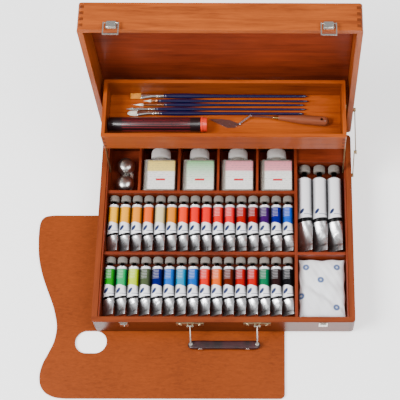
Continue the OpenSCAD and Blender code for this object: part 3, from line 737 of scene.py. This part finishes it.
class PAINTBOX_OT_small_tubes(bpy.types.Operator):
    """Two rows of small tubes with ribbed screw caps."""
    bl_idname = "paintbox.small_tubes"
    bl_label = "Small tubes"

    def execute(self, context):
        sizes = context.scene.paint_box.tubes
        # Grey caps are matt moulded plastic.
        grey = moulded_plastic("cap plastic", "#7A736C", 0.5)
        for row, colours, tint_from, seed in (("back", BACK_COLOURS, 9, 10), ("front", FRONT_COLOURS, 0, 60)):
            boxes = islands(f"{row}_row_tubes")
            zones = row_zones(boxes[0], ring=0.262, label=0.305, dab=0.42, field=0.515, tint=0.64,
                              collar=0.815, shoulder=0.848, neck=0.866)
            paint = printed_tube(f"{row} row print on aluminium", boxes, colours, zones, tint_from)
            skins = [tube_skin(*box, sizes.crimp_turn, sizes.crimp_width, seed + i)
                     for i, box in enumerate(boxes)]
            build(f"{row}_paint_tubes", skins, paint, f"{row}_tubes", f"{row}_row_tubes")
            caps = [cap_skin(*box, sizes.ridges) for box in islands(f"{row}_row_caps")]
            build(f"{row}_screw_caps", caps, grey, f"{row}_caps", f"{row}_row_caps")
        return {"FINISHED"}


class PAINTBOX_OT_large_tubes(bpy.types.Operator):
    """Three large white tubes with ribbed screw caps."""
    bl_idname = "paintbox.large_tubes"
    bl_label = "Large tubes"

    def execute(self, context):
        sizes = context.scene.paint_box.tubes
        grey = moulded_plastic("large cap plastic", "#7A736C", 0.5)
        boxes = islands("large_tubes")
        zones = row_zones(boxes[0], ring=0.33, label=0.375, dab=0.46, shoulder=0.89, neck=0.9)
        paint = printed_tube("large tube print on aluminium", boxes, WHITE_LABELS, zones, len(boxes))
        skins = [tube_skin(*box, sizes.crimp_turn, 1.25, 90 + i) for i, box in enumerate(boxes)]
        build("large_paint_tubes", skins, paint, "large_tubes", "large_tubes")
        caps = [cap_skin(*box, 36) for box in islands("large_tube_caps")]
        build("large_screw_caps", caps, grey, "large_caps", "large_tube_caps")
        return {"FINISHED"}


# Bottles


# The labels' ends, in millimetres from the bottle's foot.
LABEL_START, LABEL_END = 4, 56


class PAINTBOX_OT_bottles(bpy.types.Operator):
    """Clear bottles with paper labels and ribbed caps."""
    bl_idname = "paintbox.bottles"
    bl_label = "Bottles"

    def execute(self, context):
        # Flint glass that looks warm grey from the medium and the wood behind it.
        glass, tree, shader = new_material(
            "flint glass", Base_Color=(0.84, 0.80, 0.72, 1), Roughness=0.05, IOR=1.38,
            Transmission_Weight=0.8)
        bumped(shader, noise(tree, coordinates(tree)[0], 45.0, 1.0), 0.0004, 0.3)
        dress("bottles", glass, 0.8 * MM, 3)
        grey = moulded_plastic("bottle cap plastic", "#CFCCC8", 0.4)
        caps = [cap_skin(*box, 48, 1.0, 1.1) for box in islands("bottle_caps")]
        build("bottle_screw_caps", caps, grey, "bottle_caps", "bottle_caps")
        rows = columns = 24
        u, v = np.meshgrid(np.linspace(-0.5, 0.5, columns), np.linspace(0, 1, rows))
        looks = [("#F3D873", 0.6), ("#8CCB8A", 0.05), ("#F09AA6", 0.62), ("#F09AA6", 0.62)]
        for i, ((low, high), (code, edge)) in enumerate(zip(islands("bottles"), looks), 1):
            material = self.paper(f"label paper {i}", low, code, edge)
            # The sheet lies just over the flat side, and its edges bend down with the glass.
            width = (high[0] - low[0]) * 0.85
            x = (low[0] + high[0]) / 2 + 2.6 * MM + u * width
            y = low[1] + (LABEL_START + (LABEL_END - LABEL_START) * v) * MM
            z = high[2] + 0.25 * MM - 0.5 * MM * np.abs(2 * u) ** 8
            sheet = np.stack([x, y, z], -1).reshape(-1, 3)
            piece = build(f"bottle_label_{i}", [(sheet, [sheet_quads(rows, columns)])], material, "bottles")
            thick = piece.modifiers.new("paper", "SOLIDIFY")
            thick.thickness = 0.2 * MM
            thick.offset = -1
        return {"FINISHED"}

    def paper(self, name, low, code, edge):
        """Coated label paper: a tinted head that fades or stops, thin grey rules and a plain red bar."""
        material, tree, shader = new_material(name, Roughness=0.45, IOR=1.45)
        place, (x, y, _) = coordinates(tree)
        part = ranged(tree, y, low[1] + LABEL_START * MM, low[1] + LABEL_END * MM)
        white, tinted = rgba("#F3F3EE"), rgba(code)
        stops = [(0.0, white), (edge, white), (edge + 0.05, tinted), (1.0, tinted)]
        if edge < 0.2:
            stops = [(0.0, white), (0.55, rgba("#CBE5CC")), (1.0, tinted)]
        line = ranged(tree, waves(tree, y, 3.4 * MM), 0.6, 0.9, 0.0, 0.55)
        spot = noise(tree, place, 420.0)
        broken = maths(tree, "MULTIPLY", line, maths(tree, "GREATER_THAN", spot, 0.5))
        look = over(tree, graded(tree, part, stops), rgba("#6A6A70"), broken)
        aside = maths(tree, "ABSOLUTE", maths(tree, "SUBTRACT", x, low[0] + 30 * MM))
        height = maths(tree, "ABSOLUTE", maths(tree, "SUBTRACT", part, 0.33))
        narrow, short = maths(tree, "LESS_THAN", aside, 8 * MM), maths(tree, "LESS_THAN", height, 0.035)
        bar = maths(tree, "MULTIPLY", narrow, short)
        feed(shader, "Base Color", over(tree, look, rgba("#C8202C"), bar))
        bumped(shader, spot, 0.00003, 0.3)
        return material


class PAINTBOX_OT_dipper(bpy.types.Operator):
    """Spun steel dipper cups with domed lids."""
    bl_idname = "paintbox.dipper"
    bl_label = "Dipper"

    def execute(self, context):
        # Spun stainless steel: soft rings and a wide highlight.
        steel = plated_metal("spun steel", "#BDBAB6", 0.3, ALONG_Z, fine=0.8)
        dress("dipper_cups", steel, 0.25 * MM)
        domes = []
        for low, high in sorted(islands("dipper_lids"), key=lambda b: b[0][1]):
            # A rolled rim, then a crown that rises like a flattened sphere.
            r, h, rim = (high[0] - low[0]) / 2, high[2] - low[2], 2.2 * MM
            profile = [(0.2 * MM, r * 0.6), (0.0, r * 0.97), (0.4 * MM, r), (1.6 * MM, r),
                       (2.0 * MM, r * 0.97)]
            profile += [(rim + (h - rim) * math.sin(t), r * 0.95 * math.cos(t) ** 0.8)
                        for t in np.linspace(0, math.pi / 2, 18)[:-1]]
            points = revolved(profile, 64, axis=2)
            points += np.array([(low[0] + high[0]) / 2, (low[1] + high[1]) / 2, low[2]])
            domes.append(closed_skin(points))
        build("dipper_domes", domes, steel, "dipper_lids", "dipper_lids")
        return {"FINISHED"}


# Soft pouch


class PAINTBOX_OT_bag(bpy.types.Operator):
    """Filled cloth pouch with creases and pulled corners."""
    bl_idname = "paintbox.bag"
    bl_label = "Pouch"

    def execute(self, context):
        settings = context.scene.paint_box.bag
        low, high = (np.array(c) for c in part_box("cloth_bag"))
        centre, half = (low + high) / 2, (high - low) / 2
        n = 90
        u, v = np.meshgrid(np.linspace(-1, 1, n), np.linspace(-1, 1, n))
        # Height falls to the seam as a rounded square, the sides are drawn in, and slow sines crease the top.
        rise = ((1 - np.abs(u) ** 3.2) * (1 - np.abs(v) ** 3.6)).clip(0) ** 0.42
        x = centre[0] + half[0] * u * (1 - 0.045 * (1 - v ** 4) * (0.6 + 0.4 * np.sin(v * 9 + 1)))
        y = centre[1] + half[1] * v * (1 - 0.05 * (1 - u ** 4) * (0.6 + 0.4 * np.cos(u * 7)))
        crease = (np.sin(u * 5 + v * 7 + 1.3 * np.sin(v * 3)) * 0.5 + np.sin(u * 11 - v * 4 + 2) * 0.25
                  + np.sin((u + v) * 17 + 2 * u) * 0.14) * settings.crease * MM
        tuck = -2.4 * MM * np.exp(-((v + 0.25 + 0.5 * u) / 0.12) ** 2) * (np.abs(u) < 0.95)
        top_z = np.minimum(centre[2] + (half[2] - 2 * MM) * rise + (crease + tuck) * rise, high[2])
        bottom_z = centre[2] - half[2] * rise ** 0.8
        top = np.stack([x, y, top_z], -1)
        under = np.stack([x, y, bottom_z], -1)
        # Both sides share the points of the seam.
        rim = np.maximum(np.abs(u), np.abs(v)) == 1
        index_top = np.arange(n * n).reshape(n, n)
        index_low = np.where(rim, index_top, n * n + np.cumsum(~rim).reshape(n, n) - 1)
        verts = np.vstack([top.reshape(-1, 3), under[~rim]])
        quads = sheet_quads(n, n)
        lower = index_low.ravel()[quads][:, ::-1]
        material = self.cotton(settings, low, high)
        piece = build("pouch", [(verts, [quads, lower])], material, "bag", "cloth_bag")
        return {"FINISHED"}

    def cotton(self, settings, low, high):
        """Bleached plain-weave cotton with a few soft blue printed rings, threads 0.6 mm apart to show."""
        material, tree, shader = new_material("bleached cotton", Roughness=0.82, Sheen_Weight=0.25)
        _, (x, y, _) = coordinates(tree)
        weave = maths(tree, "MULTIPLY", waves(tree, x, 0.6 * MM), waves(tree, y, 0.6 * MM))
        flat = put(tree, "ShaderNodeCombineXYZ", {"X": x, "Y": y}).outputs[0]
        look = opaque(settings.cloth)
        for across, along in ((0.16, 0.84), (0.82, 0.84), (0.47, 0.62), (0.05, 0.36), (0.8, 0.17)):
            centre = (low[0] + (high[0] - low[0]) * across, low[1] + (high[1] - low[1]) * along, 0)
            gap = put(tree, "ShaderNodeVectorMath", {0: flat, 1: centre}, operation="DISTANCE")
            away = gap.outputs["Value"]
            edge = ranged(tree, away, 4.4 * MM, 6.2 * MM, 0.95, 0.0)
            core = ranged(tree, away, 0.8 * MM, 2.6 * MM, 0.35, 1.0)
            look = over(tree, look, opaque(settings.motif), maths(tree, "MULTIPLY", edge, core))
        feed(shader, "Base Color", look)
        bumped(shader, weave, 0.0001, 0.35)
        return material


# Brushes


# Kind, hair colour and half width of the hair in millimetres, from the back to the front.
BRUSHES = [("flat", "#E59A1C", 5.8), ("round", "#D9D3C6", 3.0), ("round", "#EDE6D6", 3.2),
           ("round", "#8F8A82", 3.3), ("filbert", "#F3EBDD", 5.2)]


class PAINTBOX_OT_brushes(bpy.types.Operator):
    """Brushes with lacquered handles, pressed ferrules and hair made of strands."""
    bl_idname = "paintbox.brushes"
    bl_label = "Brushes"

    def execute(self, context):
        by_row = lambda node: sorted(islands(node), key=lambda b: -(b[0][1] + b[1][1]))
        handles, ferrules, hairs = by_row("brush_handles"), by_row("brush_ferrules"), by_row("brush_bristles")
        # Deep blue lacquer over turned wood: high gloss.
        lacquer, tree, shader = new_material(
            "navy lacquer", Base_Color=rgba("#0C0A34"), Coat_Weight=0.5, Coat_Roughness=0.05, IOR=1.5)
        cloud = noise(tree, coordinates(tree)[0], 120.0)
        feed(shader, "Roughness", ranged(tree, cloud, 0, 1, 0.18, 0.3))
        silver = plated_metal("nickel ferrule", "#D4D2CE", 0.2)
        copper = plated_metal("copper ferrule", "#B88362", 0.24)
        wood_skins, silver_skins, copper_skins = [], [], []
        for i, (handle, ferrule, (hair_low, _)) in enumerate(zip(handles, ferrules, hairs)):
            kind, code, half = BRUSHES[i]
            centre = (handle[0] + handle[1]) / 2
            length, width = (handle[1] - handle[0])[:2]
            r = width / 2
            s = np.linspace(0, 1, 50)
            # The handle swells behind the ferrule, thins towards the end and closes in a small knob.
            swell = 0.7 + 0.3 * np.exp(-((s - 0.16) / 0.13) ** 2) - 0.2 * s
            swell = np.where(s > 0.965, swell * np.sqrt(np.clip(1 - ((s - 0.965) / 0.036) ** 2, 0, 1)), swell)
            points = revolved(np.stack([s * length, swell * r], -1), 24, axis=0)
            points += np.array([handle[0][0], centre[1], centre[2]])
            wood_skins.append(closed_skin(points[:, ::-1]))
            # The ferrule is round at the handle and pressed flat at the hair for flat and filbert brushes.
            n = 40
            s = np.linspace(0, 1, n)
            press = np.clip((0.55 - s) / 0.55, 0, 1) ** 1.3
            base = r * (0.66 + 0.14 * s)
            ring = 0.3 * MM * sum(np.exp(-((s - at) / 0.02) ** 2) for at in (0.74, 0.86))
            mouth = (base * 0.85, base * 0.85) if kind == "round" else (half * MM, 1.9 * MM)
            wide, thin = (base * (1 - press) + press * size + ring for size in mouth)
            a = np.linspace(0, 2 * math.pi, 28, endpoint=False)
            skin = np.zeros((n, len(a), 3))
            skin[..., 0] = (ferrule[0][0] + s * (ferrule[1][0] - ferrule[0][0]))[:, None]
            skin[..., 1] = centre[1] + wide[:, None] * np.cos(a)
            skin[..., 2] = centre[2] + thin[:, None] * np.sin(a)
            (copper_skins if i in (1, 2) else silver_skins).append(closed_skin(skin))
            self.hair(i, kind, code, half, hair_low, ferrule[0], centre)
        build("brush_handle_sticks", wood_skins, lacquer, "brushes", "brush_handles")
        build("silver_ferrules", silver_skins, silver, "brushes", "brush_ferrules")
        build("copper_ferrules", copper_skins, copper, "brushes", None)
        for i in range(len(BRUSHES)):
            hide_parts("brush_bristles")
        return {"FINISHED"}

    def hair(self, i, kind, code, half, low, ferrule, centre):
        """Strands from the ferrule's mouth to the tip: each is a three-sided needle on a gathered curve."""
        rng = np.random.default_rng(200 + i)
        count = 420
        angle = rng.uniform(0, 2 * math.pi, count)
        away = np.sqrt(rng.uniform(0, 1, count))
        wide, thin = (half * 0.62, half * 0.62) if kind == "round" else (half * 0.92, 1.6)
        side, up = away * np.cos(angle), away * np.sin(angle)
        root_x = ferrule[0] + 1.5 * MM
        reach = root_x - low[0]
        shorter = {"flat": 0.0, "filbert": 0.28 * side ** 2, "round": 0.5 * away ** 1.5}[kind]
        tip = 1 - shorter - 0.03 * rng.uniform(0, 1, count)
        points = 9
        t = np.linspace(0, 1, points)[None, :]
        close = {"flat": 1.0 - 0.03 * t, "filbert": 1 - 0.12 * t ** 2,
                 "round": 1 + 0.25 * np.sin(t * math.pi) - 0.85 * t ** 2}[kind]
        x = root_x - reach * tip[:, None] * t
        y = centre[1] + wide * MM * side[:, None] * close
        z = centre[2] + thin * MM * up[:, None] * close * (1 - 0.75 * t ** 2)
        width = 0.14 * MM * (1 - 0.85 * t ** 3)
        corners = np.array([0, 2 * math.pi / 3, 4 * math.pi / 3])
        strands = np.zeros((count, points, len(corners), 3))
        strands[..., 0] = x[..., None]
        strands[..., 1] = y[..., None] + width[..., None] * np.cos(corners)
        strands[..., 2] = z[..., None] + width[..., None] * np.sin(corners)
        skins = [closed_skin(strand[::-1]) for strand in strands]
        # Hair: a slightly glossy fibre that is paler towards the tip.
        material, tree, shader = new_material(f"brush hair {i + 1}", Roughness=0.45, IOR=1.55)
        fade = ranged(tree, coordinates(tree)[1]["X"], low[0], root_x)
        tone = linear(code)
        pale = opaque(tuple(min(c * 1.15, 1) for c in tone))
        look = graded(tree, fade, [(0, pale), (0.7, opaque(tone)), (1, darker(tone, 0.7))])
        feed(shader, "Base Color", look)
        build(f"brush_hair_{i + 1}", skins, material, "brushes", None)


class PAINTBOX_OT_knife(bpy.types.Operator):
    """Palette knife: spring steel blade, brass ferrule and turned wooden handle."""
    bl_idname = "paintbox.knife"
    bl_label = "Palette knife"

    def execute(self, context):
        dress("knife_blade", plated_metal("spring steel", "#B9BBC0", 0.24), 0.2 * MM)
        dress("knife_ferrule", plated_metal("polished brass", "#D8AE6A", 0.2), 0.2 * MM)
        beech = varnished_wood("stained beech handle", linear("#3A1A10"), linear("#8A4A30"), ALONG_X, 47, 0.3)
        dress("knife_handle", beech, 0.5 * MM)
        return {"FINISHED"}


class PAINTBOX_OT_dark_tube(bpy.types.Operator):
    """Dark card tube with dull red printed lines, and its red pull-off cap."""
    bl_idname = "paintbox.dark_tube"
    bl_label = "Dark tube"

    def execute(self, context):
        low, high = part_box("dark_tube")
        material, tree, shader = new_material("printed dark card", Roughness=0.36, IOR=1.48, Coat_Weight=0.3)
        place, (x, y, _) = coordinates(tree)
        spot = noise(tree, place, 500.0, 1.0)
        ink = ranged(tree, maths(tree, "MULTIPLY", waves(tree, y, 2.6 * MM), spot), 0.24, 0.4, 0.0, 0.75)
        stops = [(0, (0, 0, 0, 1)), (0.14, (1, 1, 1, 1)), (0.84, (0, 0, 0, 1))]
        ink = maths(tree, "MULTIPLY", ink, graded(tree, ranged(tree, x, low[0], high[0]), stops, "CONSTANT"))
        feed(shader, "Base Color", over(tree, rgba("#1C1013"), rgba("#8A1F28"), ink))
        bumped(shader, spot, 0.00005, 0.3)
        dress("dark_tube", material, 0.6 * MM)
        dress("dark_tube_cap", moulded_plastic("red cap plastic", "#E03A22", 0.32), 0.6 * MM)
        return {"FINISHED"}


# Stage


class PAINTBOX_OT_stage(bpy.types.Operator):
    """Pale floor, soft lights and the camera at the photograph's view."""
    bl_idname = "paintbox.stage"
    bl_label = "Stage"

    def execute(self, context):
        stage = context.scene.paint_box.stage
        scene = context.scene
        mesh = bpy.data.meshes.new("floor")
        reach = 12.0
        corners = [(-reach, -reach, 0), (reach, -reach, 0), (reach, reach, 0), (-reach, reach, 0)]
        mesh.from_pydata(corners, [], [(0, 1, 2, 3)])
        floor = bpy.data.objects.new("floor", mesh)
        scene.collection.objects.link(floor)
        pale = opaque(stage.floor)
        mesh.materials.append(new_material(
            "paper floor", Base_Color=pale, Roughness=0.9, Emission_Color=pale, Emission_Strength=0.9)[0])
        floor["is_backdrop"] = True
        world = bpy.data.worlds.new("studio")
        scene.world = world
        world.use_nodes = True
        sky = world.node_tree.nodes["Background"].inputs
        sky["Color"].default_value = (1, 1, 1, 1)
        sky["Strength"].default_value = 0.5
        for name, place, power, size in (
                ("key", (-1.5, -0.6, 1.9), 88.0, 1.1), ("fill", (1.1, -0.45, 2.2), 42.0, 1.4)):
            light = bpy.data.lights.new(name, "AREA")
            light.energy = power
            light.size = size
            lamp = bpy.data.objects.new(name, light)
            lamp.location = place
            aim = Vector((0, 0, 0.1)) - Vector(place)
            lamp.rotation_euler = aim.to_track_quat("-Z", "Y").to_euler()
            scene.collection.objects.link(lamp)
        self.camera(scene, stage)
        return {"FINISHED"}

    def camera(self, scene, stage):
        """Camera from its place, yaw, pitch and roll: right, up and back are the columns of its matrix."""
        yaw, pitch, roll = stage.camera_yaw, stage.camera_pitch, stage.camera_roll
        ahead = Vector((math.sin(yaw), math.cos(yaw), 0))
        right = Vector((math.cos(yaw), -math.sin(yaw), 0))
        forward = ahead * math.cos(pitch) - Vector((0, 0, math.sin(pitch)))
        up = ahead * math.sin(pitch) + Vector((0, 0, math.cos(pitch)))
        turned_right = right * math.cos(roll) + up * math.sin(roll)
        turned_up = up * math.cos(roll) - right * math.sin(roll)
        data = bpy.data.cameras.new("camera")
        data.sensor_width = 36
        data.lens = stage.focal
        data.shift_x = stage.shift_x
        data.shift_y = stage.shift_y
        camera = bpy.data.objects.new("camera", data)
        camera.matrix_world = Matrix.Translation(stage.camera_place) @ Matrix(
            (turned_right, turned_up, -forward)).transposed().to_4x4()
        scene.collection.objects.link(camera)
        scene.camera = camera


class PAINTBOX_PT_panel(bpy.types.Panel):
    """Lists the paint box's pieces."""
    bl_label = "Paint box"
    bl_idname = "PAINTBOX_PT_panel"
    bl_space_type = "VIEW_3D"
    bl_region_type = "UI"
    bl_category = "Paint box"

    def draw(self, context):
        for operator in OPERATORS:
            self.layout.operator(operator.bl_idname)
        settings = context.scene.paint_box
        for group in (settings.wood, settings.tubes, settings.bag, settings.stage):
            for key in group.__annotations__:
                self.layout.prop(group, key)


OPERATORS = (PAINTBOX_OT_stage, PAINTBOX_OT_boards, PAINTBOX_OT_palette, PAINTBOX_OT_hardware,
             PAINTBOX_OT_handle, PAINTBOX_OT_small_tubes, PAINTBOX_OT_large_tubes, PAINTBOX_OT_bottles,
             PAINTBOX_OT_dipper, PAINTBOX_OT_bag, PAINTBOX_OT_brushes, PAINTBOX_OT_knife,
             PAINTBOX_OT_dark_tube)
CLASSES = (PAINTBOX_PG_wood, PAINTBOX_PG_tubes, PAINTBOX_PG_bag, PAINTBOX_PG_stage, PAINTBOX_PG_settings,
           *OPERATORS, PAINTBOX_PT_panel)


def register():
    for item in CLASSES:
        bpy.utils.register_class(item)
    bpy.types.Scene.paint_box = PointerProperty(type=PAINTBOX_PG_settings)


def unregister():
    del bpy.types.Scene.paint_box
    for item in reversed(CLASSES):
        bpy.utils.unregister_class(item)


def main():
    """Makes every piece in order."""
    register()
    for operator in OPERATORS:
        getattr(bpy.ops.paintbox, operator.bl_idname.split(".")[1])()
    {"cad": CAD_BOX, "visual": [list(corner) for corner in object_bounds()]}


if __name__ == "__main__":
    main()
